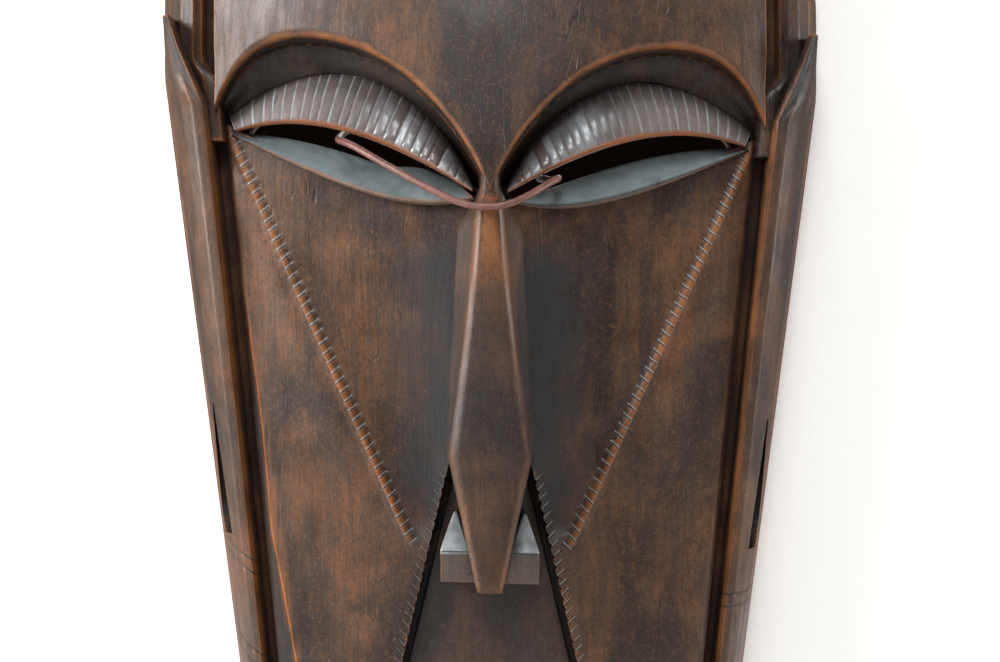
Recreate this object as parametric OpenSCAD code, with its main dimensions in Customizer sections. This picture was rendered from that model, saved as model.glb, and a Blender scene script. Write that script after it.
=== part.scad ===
// Carved wooden wall mask with a hanging wire looped round the nose bridge.
// Front faces -Y, up is +Z, the wall is the plane y = 0. The origin is where the nail carries the wire.
// Heights in the functions below count from the point where the two brow arches meet.

/* [Overall] */
// Height of the crown above the brow point
crown_height = 150; // [130:1:180]
// Drop of the chin below the brow point
chin_drop = 350; // [300:1:420]
// Half width of the mask at the brow point
half_span = 131; // [118:1:157]
// Widening of each side per millimetre of height
side_taper = 0.13; // [0.08:0.01:0.18]
// Depth of the face from the wall to the cheek level
face_depth = 61; // [56:1:73]
// Leftward rise of the hand-carved features per millimetre of width
carving_skew = 0.03; // [0:0.005:0.05]

/* [Forehead and brow] */
// Depth of the forehead from the wall at the brow point
forehead_depth = 80; // [76:1:96]
// Height of the brow arches above the brow point
brow_rise = 62.5; // [55:0.5:70]
// Distance of the brow arch's crest from the middle
brow_crest_x = 75; // [68:1:80]
// Distance of the brow's outer end from the middle
brow_end_x = 112; // [106:1:118]

/* [Eyes] */
// Depth of the eye hollow's floor from the wall, at the middle
socket_depth = 47; // [44:1:50]
// Thickness of an eyelid
lid_thickness = 7; // [6:0.5:9]
// How far the lower lid stands in front of the cheek
lower_lid_step = 4; // [2:0.5:6]
// Height that the slit widens to behind the upper lid
slit_back_height = 12; // [9:1:15]

/* [Nose] */
// Depth of the nose from the wall at the bridge
bridge_depth = 82; // [80:1:90]
// Depth of the nose from the wall at the tip
tip_depth = 96; // [90:1:110]
// Length of the nose below the brow point
nose_length = 154; // [140:1:170]
// Half width of the nose where the nostril grooves begin
nose_half_width = 15.6; // [13:0.2:18]

/* [Cheeks and ears] */
// Width of the deep groove between the cheek and the ear strip
side_groove = 4.6; // [3.6:0.2:6]
// Depth of that groove
side_groove_depth = 9; // [6:1:12]
// Height of the notched ridges above the cheek
ridge_height = 1.6; // [1:0.2:2.5]
// Hollowing of the cheek panels beside the nose
panel_dip = 3; // [1:0.5:4]
// Depth of the triangular ear slots
ear_slot_depth = 10; // [7:1:12]

/* [Mouth] */
// Distance of the mouth below the brow point
mouth_drop = 240; // [225:1:255]
// Half width of the lips
mouth_half_width = 34; // [26:1:38]
// Recess of the lip panel below the cheeks
lip_recess = 7; // [5:0.5:9]

/* [Hollow back] */
// Thickness of the wood at the sides of the hollow
side_wall = 17; // [14:1:20]
// Thickness of the wood in front of the hollow
front_wall = 16; // [14:1:18]

/* [Hanging wire] */
// Diameter of the insulated wire
wire_diameter = 2.8; // [2.2:0.1:3.2]
// Diameter of the copper core
core_diameter = 1.4; // [1.2:0.1:1.5]
// Length of bare copper at each end
bare_length = 6; // [4:1:10]

/* [Hidden] */
wood = [0.30, 0.20, 0.13];
sleeve_brown = [0.42, 0.25, 0.20];
copper = [0.72, 0.43, 0.28];
core_gap = 0.1;
wire_sides = 8;

// Height of the nail above the brow point, which the wire's route is laid out for
nail_height = 95;

function lerp(a, b, t) = a + (b - a) * t;
function clamp(v, low, high) = min(max(v, low), high);
function smooth(a, b, v) = let (t = clamp((v - a) / (b - a), 0, 1)) t * t * (3 - 2 * t);
function steps(a, b, n) = [for (i = [0:n]) lerp(a, b, i / n)];
function end_steps(a, b, n) = [for (i = [0:n]) lerp(a, b, lerp(i / n, (1 - cos(180 * i / n)) / 2, 0.8))];
function mirrored(half) = concat([for (i = [len(half) - 1:-1:1]) -half[i]], half);
function bezier(p, t) =
    p[0] * pow(1 - t, 3) + 3 * p[1] * pow(1 - t, 2) * t + 3 * p[2] * (1 - t) * t * t + p[3] * t * t * t;

// Outline of the mask
side_line_top = 80;
chin_round_start = -190;
function straight_side(z) = half_span + side_taper * z;
function chin_round(z) = sqrt(1 - pow(clamp((chin_round_start - z) / (chin_drop - 185), 0, 0.975), 3));
function crown_round(z) = sqrt(1 - pow(clamp((z - side_line_top) / (crown_height - 75), 0, 0.94), 3));
function half_width(z) = straight_side(min(z, 50)) * chin_round(z) * crown_round(z);
function groove_x(z) = (half_width(0) - 22.8 + 0.104 * min(z, 60)) * chin_round(z) * crown_round(z);

// Depths, as positive distances from the wall
mid_height = (crown_height - chin_drop) / 2;
half_height = (crown_height + chin_drop) / 2;
function bow(x) = 1 - pow(x / 170, 2);
function face_bulge(z) = sqrt(1 - pow(clamp((z - mid_height) / (half_height + 12), -1, 1), 4));
function ridge_x(z) = 95.8 + 0.4615 * z;
function ridge_fade(z) = smooth(-142, -128, z) * (1 - smooth(26, 34, z));
function cheek_shape(x, z) =
    let (r = max(ridge_x(z), 22), inner = clamp((r - x) / (r - 14), 0, 1))
    ridge_fade(z) * (ridge_height * max(0, 1 - abs(x - r) / 3.5) - panel_dip * 4 * inner * (1 - inner) * step(x, r));
function step(x, edge) = x < edge ? 1 : 0;
function face_y(x, z) = face_depth * face_bulge(z) * bow(x) + cheek_shape(abs(x), z);
function forehead_y(x, z) = (forehead_depth - 0.0011 * z * z) * (1 - pow(x / 175, 2));

// A closed solid between a front and a back sheet of points, rows upward, columns left to right
module sheet_solid(front, back) {
    rows = len(front);
    cols = len(front[0]);
    points = concat([for (row = front) for (p = row) p], [for (row = back) for (p = row) p]);
    function f(i, j) = i * cols + j;
    function b(i, j) = rows * cols + i * cols + j;
    polyhedron(points = points, faces = concat(
        [for (i = [0:rows - 2]) for (j = [0:cols - 2]) [f(i, j), f(i + 1, j), f(i + 1, j + 1)]],
        [for (i = [0:rows - 2]) for (j = [0:cols - 2]) [f(i, j), f(i + 1, j + 1), f(i, j + 1)]],
        [for (i = [0:rows - 2]) for (j = [0:cols - 2]) [b(i, j), b(i, j + 1), b(i + 1, j + 1)]],
        [for (i = [0:rows - 2]) for (j = [0:cols - 2]) [b(i, j), b(i + 1, j + 1), b(i + 1, j)]],
        [for (j = [0:cols - 2]) [f(0, j), f(0, j + 1), b(0, j + 1), b(0, j)]],
        [for (j = [0:cols - 2]) [f(rows - 1, j + 1), f(rows - 1, j), b(rows - 1, j), b(rows - 1, j + 1)]],
        [for (i = [0:rows - 2]) [f(i + 1, 0), f(i, 0), b(i, 0), b(i + 1, 0)]],
        [for (i = [0:rows - 2]) [f(i, cols - 1), f(i + 1, cols - 1), b(i + 1, cols - 1), b(i, cols - 1)]]));
}

// The wood behind everything: a thick plate with rounded sides, whose back rim rests on the wall
plate_depth = face_depth * bow(103) - side_groove_depth;
module back_plate() {
    rows = end_steps(-chin_drop, crown_height, 25);
    part = [0, 0.3, 0.6, 0.77, 0.9, 0.96, 0.985, 1];
    rise = [1, 1, 1, 1, 0.86, 0.7, 0.5, 0.25];
    across = concat([for (i = [7:-1:1]) [-part[i], rise[i]]], [for (i = [0:7]) [part[i], rise[i]]]);
    edge_fade = function (z) 0.55 + 0.45 * face_bulge(z);
    sheet_solid(
        [for (z = rows) [for (a = across) [a[0] * half_width(z), -a[1] * plate_depth * edge_fade(z), z]]],
        [for (z = rows) [for (a = across) [a[0] * half_width(z) * 0.9995, 0, z]]]);
}

// Cheeks and the floor of the face between the two side grooves
face_bottom = -chin_drop + 12;
face_top = 108;
module face_block() {
    rows = steps(face_bottom, face_top, 28);
    function xs(z) = let (g = groove_x(z) - side_groove / 2, r = clamp(ridge_x(z), 26, g - 8))
        mirrored([0, 8, 17, lerp(17, r - 3, 0.33), lerp(17, r - 3, 0.7), r - 3, r, r + 3,
            lerp(r, g, 0.6), g - 3, g]);
    function edge(x, z) = abs(x) > groove_x(z) - side_groove / 2 - 1 ? 1.2 : 0;
    sheet_solid(
        [for (z = rows) [for (x = xs(z)) [x, edge(x, z) - face_y(x, z), z]]],
        [for (z = rows) [for (x = xs(z)) [x, -15, z]]]);
}

// Ear strips beside the grooves, flaring at the top
ear_bottom = -chin_drop + 22;
ear_tip_z = 72;
ear_inner_z = 36;
ear_flare = 0.37;
function ear_inner_x(z) = groove_x(z) + side_groove / 2 + (z > ear_inner_z ? (z - ear_inner_z) * ear_flare : 0);
function ear_outer_x(z) = half_width(z) - 1.3;
module ear_strip() {
    rows = concat(steps(ear_bottom, ear_inner_z - 1, 17), steps(ear_inner_z, ear_tip_z, 4));
    heights = [0.1, 0.9, 1, 0.97, 0.8, 0.5, 0.2];
    places = [0, 0.04, 0.14, 0.35, 0.62, 0.86, 1];
    function crest(z) = (38 + 6 * smooth(ear_inner_z - 30, ear_tip_z, z)) * lerp(0.5, 1, chin_round(z));
    sheet_solid(
        [for (z = rows) [for (k = [0:6])
            [lerp(ear_inner_x(z), ear_outer_x(z), places[k]), -crest(z) * heights[k] - 6, z]]],
        [for (z = rows) [for (k = [0:6]) [lerp(ear_inner_x(z), ear_outer_x(z), places[k]), -4, z]]]);
}

// Side bands of the headdress, above and behind the ears; beside the brow they close the groove
module temple_band() {
    rows = concat(steps(22, 58, 6), steps(64, crown_height - 14, 8));
    places = [0, 0.08, 0.3, 0.6, 0.9, 1];
    heights = [0.3, 0.94, 1, 0.94, 0.7, 0.3];
    function closing(z) = 1 - smooth(46, 56, z);
    function inner(z) = groove_x(z) + side_groove * (0.6 - 1.3 * closing(z));
    function rise(z, part) = 5 * closing(z) * (1 - smooth(0.1, 0.5, part));
    sheet_solid(
        [for (z = rows) [for (k = [0:5])
            [lerp(inner(z), half_width(z) - 4, places[k]),
                -(40 * face_bulge(z) + rise(z, places[k])) * heights[k], z]]],
        [for (z = rows) [for (k = [0:5]) [lerp(inner(z), half_width(z) - 4, places[k]), -4, z]]]);
}

// The two brow arches: height of the brow edge at a distance from the middle
brow_inner = [[0, 0], [6, 22], [34, brow_rise], [brow_crest_x, brow_rise]];
brow_outer = [[brow_crest_x, brow_rise], [brow_crest_x + 20, brow_rise], [brow_end_x - 6, 50], [brow_end_x, 33]];
brow_inner_parts = 8;
brow_outer_parts = 5;
brow_half = concat([for (t = steps(0, 1, brow_inner_parts)) bezier(brow_inner, t)],
    [for (i = [1:brow_outer_parts]) bezier(brow_outer, i / brow_outer_parts)]);
brow_line = concat([for (i = [len(brow_half) - 1:-1:1]) [-brow_half[i][0], brow_half[i][1]]], brow_half);

// Forehead: a smooth convex slab that overhangs the eyes along the brow edge
forehead_top = 112;
module forehead() {
    lift = [0, 1.5, 5, 12, 0.35, 0.6, 0.8, 1];
    sink = [6, 1.6, 0.3, 0, 0, 0, 0, 0];
    function level(b, k) = k < 4 ? b + lift[k] * 0.5 : lerp(b + 6, forehead_top, lift[k]);
    front = [for (k = [0:7]) [for (p = brow_line)
        let (z = level(p[1], k), x = p[0] * lerp(1, (groove_x(z) - 2) / brow_end_x, smooth(30, 80, z)))
        [x, -(forehead_y(x, z) - sink[k]), z]]];
    back = [for (row = front) [for (p = row) [p[0], -30, p[2]]]];
    sheet_solid(front, back);
}

// Headdress over the forehead: a raised band and a rounded crown
band_low = 104;
band_high = 124;
module headdress() {
    rows = [band_low, band_low + 2, band_low + 5, band_high - 5, band_high - 2, band_high,
        band_high + 1, lerp(band_high, crown_height, 0.4), lerp(band_high, crown_height, 0.75), crown_height];
    proud = [3, 6, 7.5, 7.5, 6.5, 5, 1.5, -2, -8, -20];
    across = mirrored(steps(0, 1, 10));
    function reach(z) = half_width(z) - (z > band_high ? 6 : 2);
    function y(x, z, k) = forehead_depth * 0.86 * (1 - pow(x / 180, 2)) + proud[k] - 8 * pow(abs(x) / reach(z), 6);
    sheet_solid(
        [for (k = [0:9]) [for (a = across) let (x = a * reach(rows[k])) [x, -y(x, rows[k], k), rows[k]]]],
        [for (k = [0:9]) [for (a = across) [a * reach(rows[k]), -10, rows[k]]]]);
}

// Eyelids: lines across the right-hand eye, from the nose side to the outer corner
lid_top = [[7, 6], [24, 45], [66, 62], [107, 32]];
lid_bottom = [[7, 3], [38, 21], [70, 36], [104, 26]];
lower_top = [[14, 2], [40, 12], [70, 25], [105, 26]];
lower_bottom = [[6, 0], [34, -9], [66, 6], [106, 25]];
hollow_low_line = [[8, 0.5], [34, -7], [66, 8], [104, 27]];
function eye_row(line, n) = [for (t = steps(0, 1, n)) bezier(line, t)];
function between(a, b, v) = [for (i = [0:len(a) - 1]) lerp(a[i], b[i], v)];
function sheet_from(lines, depths) =
    [for (i = [0:len(lines) - 1]) [for (p = lines[i]) [p[0], -depths[i] * (1 - pow(p[0] / 165, 2)), p[1]]]];

module upper_lid() {
    n = 12;
    low = eye_row(lid_bottom, n);
    high = eye_row(lid_top, n);
    lines = [for (v = [0, 0.12, 0.3, 0.55, 0.8, 1.15]) between(low, high, v)];
    bulge = [66, 67.5, 67, 64.5, 60.5, 51];
    root = [0, 0, 0, 0, 0, 5];
    front = sheet_from(lines, bulge);
    back = sheet_from(lines, bulge - root - [for (d = bulge) lid_thickness]);
    sheet_solid(front, back);
}

module lower_lid() {
    n = 12;
    low = eye_row(lower_bottom, n);
    high = eye_row(lower_top, n);
    lines = [for (v = [0, 0.08, 0.45, 1]) between(low, high, v)];
    front = sheet_from(lines, [60 + lower_lid_step, 61 + lower_lid_step, 60, 52]);
    back = sheet_from(lines, [44, 44, 44, 44]);
    sheet_solid(front, back);
}

// What is cut away under the brow, before the lids are set in
brow_clear = 1.2;
module eye_hollow() {
    n = brow_inner_parts + brow_outer_parts;
    low = eye_row(hollow_low_line, n);
    high = [for (i = [0:n]) brow_half[i] - [0, brow_clear]];
    lines = [for (v = steps(0, 1, 3)) between(low, high, v)];
    floor_sheet = sheet_from(lines, [for (line = lines) socket_depth]);
    sheet_solid([for (row = floor_sheet) [for (p = row) [p[0], -140, p[2]]]], floor_sheet);
}

// The slit between the lids, which widens behind the upper lid and opens into the hollow back
slit_reach = 0.96;
module eye_slit() {
    n = 12;
    low = eye_row(lower_top, n);
    high = eye_row(lid_bottom, n);
    raised = [for (i = [0:n]) [high[i][0] * slit_reach, high[i][1] + 0.3 + slit_back_height * pow(sin(180 * i / n), 0.6)]];
    hidden = [for (p = low) [p[0] * slit_reach, p[1] - 1]];
    sheet_solid(
        [for (line = [hidden, raised]) [for (p = line) [p[0], -(socket_depth + 2.5) * (1 - pow(p[0] / 165, 2)), p[1]]]],
        [for (line = [hidden, raised]) [for (p = line) [p[0], -10, p[1]]]]);
}

// Nose: a long kite with a flat-round back, rising to its tip
groove_start = -102;
function nose_top_half(z) = z > -10 ? lerp(5, 2.6, smooth(-10, 8, z))
    : z > groove_start ? lerp(5, nose_half_width, pow((z + 10) / (groove_start + 10), 1.25)) : lerp(nose_half_width, 4.2, (groove_start - z) / (nose_length + groove_start));
function nose_foot(z) = z > -14 ? lerp(13.7, 4.5, smooth(-14, 6, z))
    : z > groove_start ? lerp(13, 18, z / groove_start) : nose_top_half(z) + 1.5;
function nose_y(z) = z > -2 ? bridge_depth - 2 : lerp(bridge_depth, tip_depth, smooth(-20, -nose_length, z) * 0.4
    + 0.6 * (-z / nose_length));
module nose() {
    rows = concat([14, 6, -4, -10], steps(-20, groove_start, 7), steps(groove_start - 8, -nose_length + 5, 5),
        [-nose_length + 1.5, -nose_length]);
    function row_front(z) = let (t = nose_top_half(z), w = nose_foot(z), y = nose_y(z)
            - (z < -nose_length + 4 ? 3 * (1 - (z + nose_length) / 4) : 0))
        [[-w, -face_y(w, z) + 1, z], [-t - 0.6, -y + 3.2, z], [-t * 0.8, -y + 1.2, z], [-t * 0.4, -y + 0.3, z],
            [0, -y, z], [t * 0.4, -y + 0.3, z], [t * 0.8, -y + 1.2, z], [t + 0.6, -y + 3.2, z],
            [w, -face_y(w, z) + 1, z]];
    reversed = [for (i = [len(rows) - 1:-1:0]) rows[i]];
    sheet_solid([for (z = reversed) row_front(z)],
        [for (z = reversed) [for (p = row_front(z)) [p[0], -40, z]]]);
}

// Nostril blocks: small wedges beside the nose tip, with a bright triangular facet on top
module nostril_block() {
    hull() {
        translate([4, -74, -152]) cube([15.5, 30, 2]);
        translate([8, -77, -140]) cube([11.5, 33, 2]);
        translate([13, -66, -126]) cube([1.5, 20, 1]);
    }
}

// The recessed panel between the two grooves that run down from the nostrils
lip_panel_end = -mouth_drop - 30;
function lip_edge(z) = 15.5 + 0.235 * (groove_start - z);
module lip_panel() {
    rows = steps(lip_panel_end, groove_start, 10);
    function xs(z) = mirrored([0, lip_edge(z) * 0.5, lip_edge(z) - 3.2, lip_edge(z)]);
    function sunk(x, z) = lip_recess + (abs(x) > lip_edge(z) - 3.5 ? 3 : 0);
    function fade(z) = smooth(lip_panel_end, lip_panel_end + 30, z);
    sheet_solid(
        [for (z = rows) [for (x = xs(z)) [x, -130, z]]],
        [for (z = rows) [for (x = xs(z)) [x, -(face_y(x, z) - lerp(-0.7, sunk(x, z), fade(z))), z]]]);
}

// Lips: two bowed bars with the mouth slot between them
lip_root = face_y(0, -mouth_drop) - lip_recess - 1.5;
module lip(height, bulge) {
    ends = mouth_half_width;
    places = [-ends, -ends * 0.55, 0, ends * 0.55, ends];
    function at(k) = let (x = places[k]) [x, -(lip_root + bulge * (1 - pow(x / ends, 2) * 0.8)),
        -mouth_drop + height * (1 - pow(x / ends, 2) * 0.6)];
    for (k = [0:3]) hull() {
        translate(at(k)) sphere(r = lerp(4, 7, 1 - abs(places[k]) / ends), $fn = 10);
        translate(at(k + 1)) sphere(r = lerp(4, 7, 1 - abs(places[k + 1]) / ends), $fn = 10);
    }
}

// Triangular slot cut in an ear strip
module ear_slot() {
    slot_top = -86;
    slot_bottom = -139;
    hull() {
        translate([114.2, -60, slot_top]) cube([0.6, 60 - 30 + ear_slot_depth, 0.6]);
        translate([105.8, -60, slot_bottom]) cube([5.2, 60 - 30 + ear_slot_depth, 0.6]);
    }
}

// The hollowed back
hollow_low = -chin_drop + 40;
hollow_high = crown_height - 32;
module hollow() {
    rows = steps(hollow_low, hollow_high, 14);
    across = mirrored([0, 0.3, 0.6, 0.82, 0.93, 1]);
    ends = function (z) sqrt(1 - pow(abs(2 * (z - hollow_low) / (hollow_high - hollow_low) - 1), 5) * 0.6);
    function reach(z) = (half_width(z) - side_wall) * ends(z);
    function deep(x, z) = (face_y(min(abs(x), 88), z) - front_wall - 6 * smooth(-15, 5, z) * (1 - smooth(60, 80, z)))
        * ends(z) * (1 - 0.55 * pow(abs(x) / reach(z), 5));
    sheet_solid(
        [for (z = rows) [for (a = across) let (x = a * reach(z)) [x, -deep(x, z), z]]],
        [for (z = rows) [for (a = across) [a * reach(z), 1, z]]]);
}

// Both sides of a paired feature
module pair() {
    children();
    mirror([1, 0, 0]) children();
}

module carving() {
    difference() {
        union() {
            difference() {
                union() {
                    back_plate();
                    face_block();
                    forehead();
                }
                pair() eye_hollow();
                lip_panel();
            }
            headdress();
            nose();
            pair() {
                ear_strip();
                temple_band();
                upper_lid();
                lower_lid();
                nostril_block();
            }
            lip(8, 14);
            lip(-9, 12);
        }
        hollow();
        pair() {
            eye_slit();
            ear_slot();
        }
    }
}

module mask() {
    color(wood)
        translate([0, 0, -nail_height])
            multmatrix([[1, 0, 0, 0], [0, 1, 0, 0], [-carving_skew, 0, 1, 0]])
                carving();
}

// Route of the hanging wire: from the twist, up over the nail, down the left leg, out of the left slit,
// across the nose bridge, back into the right slit and up to the twist again
twist_foot = [24, -24, -38];
twist_way = [0.86, 0.35, 0.4];
twist_length = 22;
twist_turns = 1.5;
twist_radius = 1.7;
wire_route = [
    [21, -21, -32], [16, -17, -20], [10, -13, -9], [5, -10, -1], [0, -9, 2], [-5, -10, -1], [-11, -12, -9],
    [-22, -14, -24], [-34, -16.5, -40], [-44.5, -18, -52], [-52.5, -21.5, -60], [-58, -29.5, -64],
    [-61, -38.5, -67.5], [-61.5, -46.5, -69.8], [-59, -53.5, -71.2], [-54, -60.5, -73.8],
    [-43, -69, -80.5], [-31, -76, -87.5],
    [-20, -81, -93.5], [-11, -84, -97.5], [-3, -85.3, -99], [5, -85.3, -98.5], [12, -82.5, -96],
    [19, -77.5, -92], [24.5, -72.5, -88.5], [27, -68, -87], [26.5, -63, -86.7], [24, -57, -86.8],
    [22, -50, -86], [21, -43, -85.5], [20, -36, -84.5], [19.5, -30, -80], [20, -27, -70], [21, -26, -58],
    [22.5, -25, -46]];

function unit(v) = v / norm(v);
function spline(a, b, c, d, t) = 0.5 * (2 * b + (c - a) * t + (2 * a - 5 * b + 4 * c - d) * t * t
    + (3 * b - a - 3 * c + d) * t * t * t);
function rounded(p) = let (n = len(p) - 1) concat([for (i = [0:n - 1]) for (t = [0, 0.5])
    spline(p[max(i - 1, 0)], p[i], p[i + 1], p[min(i + 2, n)], t)], [p[n]]);
twist_axis = unit(twist_way);
twist_side = unit(cross(twist_axis, [0, 1, 0]));
twist_up = cross(twist_axis, twist_side);
function twist_point(t, phase) = let (a = 360 * twist_turns * t + phase)
    twist_foot + twist_axis * twist_length * t + twist_radius * (cos(a) * twist_side + sin(a) * twist_up);
twist_a = [for (t = steps(1, 0.12, 8)) twist_point(t, 150)];
twist_b = [for (t = steps(0.12, 1, 8)) twist_point(t, -30)];
sleeve_route = concat(twist_a, rounded(wire_route), twist_b);
core_route = concat([twist_a[0] + bare_length * unit(twist_a[0] - twist_a[1])], sleeve_route,
    [twist_b[8] + bare_length * unit(twist_b[8] - twist_b[7])]);

function ways(p) = let (n = len(p) - 1) [for (i = [0:n]) unit(p[min(i + 1, n)] - p[max(i - 1, 0)])];
function sides_of(w) = [for (i = 0, s = unit(cross(w[0], [0, 0, 1])); i < len(w);
    i = i + 1, s = i < len(w) ? unit(s - (s * w[i]) * w[i]) : s) s];
function ring_points(route, r) = let (w = ways(route), s = sides_of(w)) [for (i = [0:len(route) - 1])
    for (k = [0:wire_sides - 1]) let (a = 360 * k / wire_sides)
        route[i] + r * (cos(a) * s[i] + sin(a) * cross(w[i], s[i]))];
function skin(rings, first, outward) = [for (i = [0:rings - 2]) for (k = [0:wire_sides - 1])
    let (a = first + i * wire_sides + k, b = first + i * wire_sides + (k + 1) % wire_sides,
        c = b + wire_sides, d = a + wire_sides)
    for (f = outward ? [[a, c, b], [a, d, c]] : [[a, b, c], [a, c, d]]) f];

module wire_sleeve() {
    rings = len(sleeve_route);
    inner = rings * wire_sides;
    last = inner - wire_sides;
    color(sleeve_brown) polyhedron(
        points = concat(ring_points(sleeve_route, wire_diameter / 2),
            ring_points(sleeve_route, core_diameter / 2 + core_gap)),
        faces = concat(skin(rings, 0, true), skin(rings, inner, false),
            [for (k = [0:wire_sides - 1]) let (j = (k + 1) % wire_sides) for (f =
                [[k, inner + j, inner + k], [k, j, inner + j]]) f],
            [for (k = [0:wire_sides - 1]) let (j = (k + 1) % wire_sides) for (f =
                [[last + k, inner + last + j, last + j], [last + k, inner + last + k, inner + last + j]]) f]));
}

module wire_core() {
    rings = len(core_route);
    last = (rings - 1) * wire_sides;
    color(copper) polyhedron(
        points = ring_points(core_route, core_diameter / 2),
        faces = concat(skin(rings, 0, true), [[for (k = [0:wire_sides - 1]) k]],
            [[for (k = [0:wire_sides - 1]) last + wire_sides - 1 - k]]));
}

mask();
wire_sleeve();
wire_core();
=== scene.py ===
import math
import bpy
import bmesh
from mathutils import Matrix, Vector, noise


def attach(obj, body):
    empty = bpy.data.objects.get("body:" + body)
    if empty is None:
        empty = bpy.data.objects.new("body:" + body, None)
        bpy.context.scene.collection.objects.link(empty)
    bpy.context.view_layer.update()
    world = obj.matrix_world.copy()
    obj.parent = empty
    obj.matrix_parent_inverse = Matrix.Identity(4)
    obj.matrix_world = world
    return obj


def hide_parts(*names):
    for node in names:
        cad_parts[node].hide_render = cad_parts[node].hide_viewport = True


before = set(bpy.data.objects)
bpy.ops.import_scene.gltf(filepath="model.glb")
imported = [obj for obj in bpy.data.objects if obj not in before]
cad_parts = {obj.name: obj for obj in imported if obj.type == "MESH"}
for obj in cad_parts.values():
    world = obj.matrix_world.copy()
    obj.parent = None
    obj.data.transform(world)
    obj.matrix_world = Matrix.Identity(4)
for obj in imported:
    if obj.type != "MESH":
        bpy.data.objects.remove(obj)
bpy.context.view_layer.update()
print("frame loaded:", sorted(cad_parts))

scene = bpy.context.scene
scene.view_settings.view_transform = "Standard"

cameraSettings = {"place": (0.004, -1.010, -0.1474), "lens": 85.5}


def newObject(name, data):
    made = bpy.data.objects.new(name, data)
    scene.collection.objects.link(made)
    return made


def makeCamera():
    data = bpy.data.cameras.new("viewCamera")
    data.lens = cameraSettings["lens"]
    data.clip_start = 0.05
    data.clip_end = 60
    camera = newObject("viewCamera", data)
    camera.location = cameraSettings["place"]
    camera.rotation_euler = (math.radians(90), 0, 0)
    scene.camera = camera


makeCamera()

wire = {
    "diameter": 2.8,          # outside the brown sleeve, in mm like all the sizes here
    "coreDiameter": 1.4,
    "bareLength": 6.0,        # copper showing at each end
    "twistFoot": (24, -24, -38),
    "twistWay": (0.86, 0.35, 0.4),
    "twistLength": 22.0,
    "twistTurns": 1.5,
    "twistRadius": 1.7,
    # from the twist up over the nail, out of one slit, across the nose and back through the other
    "route": [
        (21, -21, -32), (16, -17, -20), (10, -13, -9), (5, -10, -1), (0, -9, 2), (-5, -10, -1),
        (-11, -12, -9), (-22, -14, -24), (-34, -16.5, -40), (-44.5, -18, -52), (-52.5, -21.5, -60),
        (-58, -29.5, -64), (-61, -38.5, -67.5), (-61.5, -46.5, -69.8), (-59, -53.5, -71.2),
        (-54, -60.5, -73.8), (-43, -69, -80.5), (-31, -76, -87.5), (-20, -81, -93.5), (-11, -84, -97.5),
        (-3, -85.3, -99),
        (5, -85.3, -98.5), (12, -82.5, -96), (19, -77.5, -92), (24.5, -72.5, -88.5), (27, -68, -87),
        (26.5, -63, -86.7), (24, -57, -86.8), (22, -50, -86), (21, -43, -85.5), (20, -36, -84.5),
        (19.5, -30, -80), (20, -27, -70), (21, -26, -58), (22.5, -25, -46)],
}


def rounded(points, parts):
    made = []
    last = len(points) - 1
    for i in range(last):
        a, b = points[max(i - 1, 0)], points[i]
        c, d = points[i + 1], points[min(i + 2, last)]
        for k in range(parts):
            t = k / parts
            made.append(0.5 * (2 * b + (c - a) * t + (2 * a - 5 * b + 4 * c - d) * t * t
                               + (3 * b - a - 3 * c + d) * t ** 3))
    made.append(points[last])
    return made


def twistPoint(t, phase):
    axis = Vector(wire["twistWay"]).normalized()
    side = axis.cross(Vector((0, 1, 0))).normalized()
    up = axis.cross(side)
    turn = math.radians(360 * wire["twistTurns"] * t + phase)
    return (Vector(wire["twistFoot"]) + axis * wire["twistLength"] * t
            + wire["twistRadius"] * (math.cos(turn) * side + math.sin(turn) * up))


def wireLine():
    steps = [0.12 + 0.88 * k / 16 for k in range(17)]
    first = [twistPoint(t, 150) for t in reversed(steps)]
    second = [twistPoint(t, -30) for t in steps]
    middle = rounded([Vector(p) for p in wire["route"]], 4)
    return [p * 0.001 for p in first + middle + second]


def tube(name, line, radius, sides):
    data = bpy.data.curves.new(name, "CURVE")
    data.dimensions = "3D"
    data.bevel_depth = radius
    data.bevel_resolution = sides
    data.use_fill_caps = True
    spline = data.splines.new("POLY")
    spline.points.add(len(line) - 1)
    for point, place in zip(spline.points, line):
        point.co = (*place, 1)
    spline.use_smooth = True
    curve = newObject(name + "Line", data)
    bpy.context.view_layer.update()
    skin = bpy.data.meshes.new_from_object(curve.evaluated_get(bpy.context.evaluated_depsgraph_get()))
    skin.name = name
    bpy.data.objects.remove(curve)
    bpy.data.curves.remove(data)
    return newObject(name, skin)


sleeveLine = wireLine()
tipA = sleeveLine[0] + (sleeveLine[0] - sleeveLine[1]).normalized() * wire["bareLength"] * 0.001
tipB = sleeveLine[-1] + (sleeveLine[-1] - sleeveLine[-2]).normalized() * wire["bareLength"] * 0.001
wireSleeve = tube("hangingWireSleeve", sleeveLine, wire["diameter"] / 2000, 6)
wireCore = tube("hangingWireCore", [tipA] + sleeveLine + [tipB], wire["coreDiameter"] / 2000, 4)
for piece, node in ((wireSleeve, "wire_sleeve"), (wireCore, "wire_core")):
    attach(piece, "hanging_wire")
    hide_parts(node)

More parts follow.
